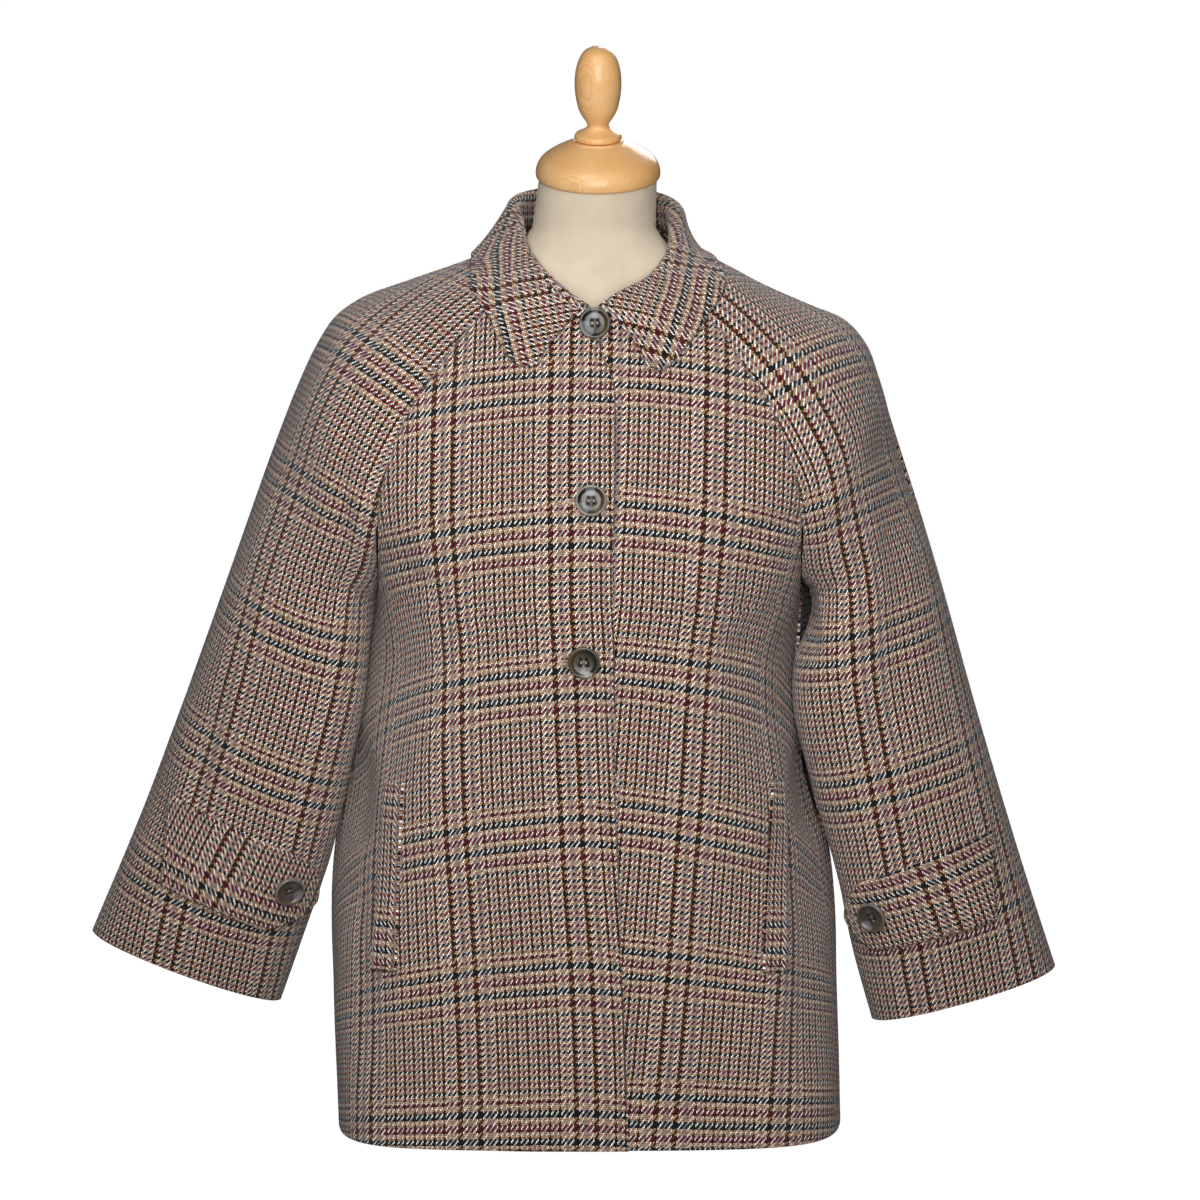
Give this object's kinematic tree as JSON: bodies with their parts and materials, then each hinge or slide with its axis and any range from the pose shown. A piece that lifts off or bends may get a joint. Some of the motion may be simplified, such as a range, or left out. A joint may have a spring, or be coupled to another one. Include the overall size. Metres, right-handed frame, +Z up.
{
  "type": "tweed raglan jacket on dress form",
  "caption": "Hip-length tweed swing jacket with raglan sleeves, turned-down collar, buttoned front, welt pockets and cuff tabs, on a limbless padded dress form.",
  "frame": {"origin": "centre of the stand's flat underside", "axes": "+Z up, -Y towards the jacket's front, -X towards the wearer's right side"},
  "size_m": [0.7973, 0.3186, 0.8825],
  "materials": {
    "tweed": "woven wool twill in a glen check",
    "horn": "polished, streaked",
    "jersey": "stretched knitted cover",
    "beech": "turned and varnished"
  },
  "bodies": {
    "root": {"front_right": "tweed", "front_left": "tweed", "back": "tweed", "sleeve_front_right": "tweed", "sleeve_front_left": "tweed", "sleeve_back_right": "tweed", "sleeve_back_left": "tweed", "collar": "tweed", "welt_right": "tweed", "welt_left": "tweed", "tab_right": "tweed", "tab_left": "tweed", "button_top": "horn", "button_middle": "horn", "button_low": "horn", "cuff_button_right": "horn", "cuff_button_left": "horn", "form_torso": "jersey", "neck_cap": "beech", "finial": "beech", "column": "beech", "base": "beech"}
  },
  "joints": []
}
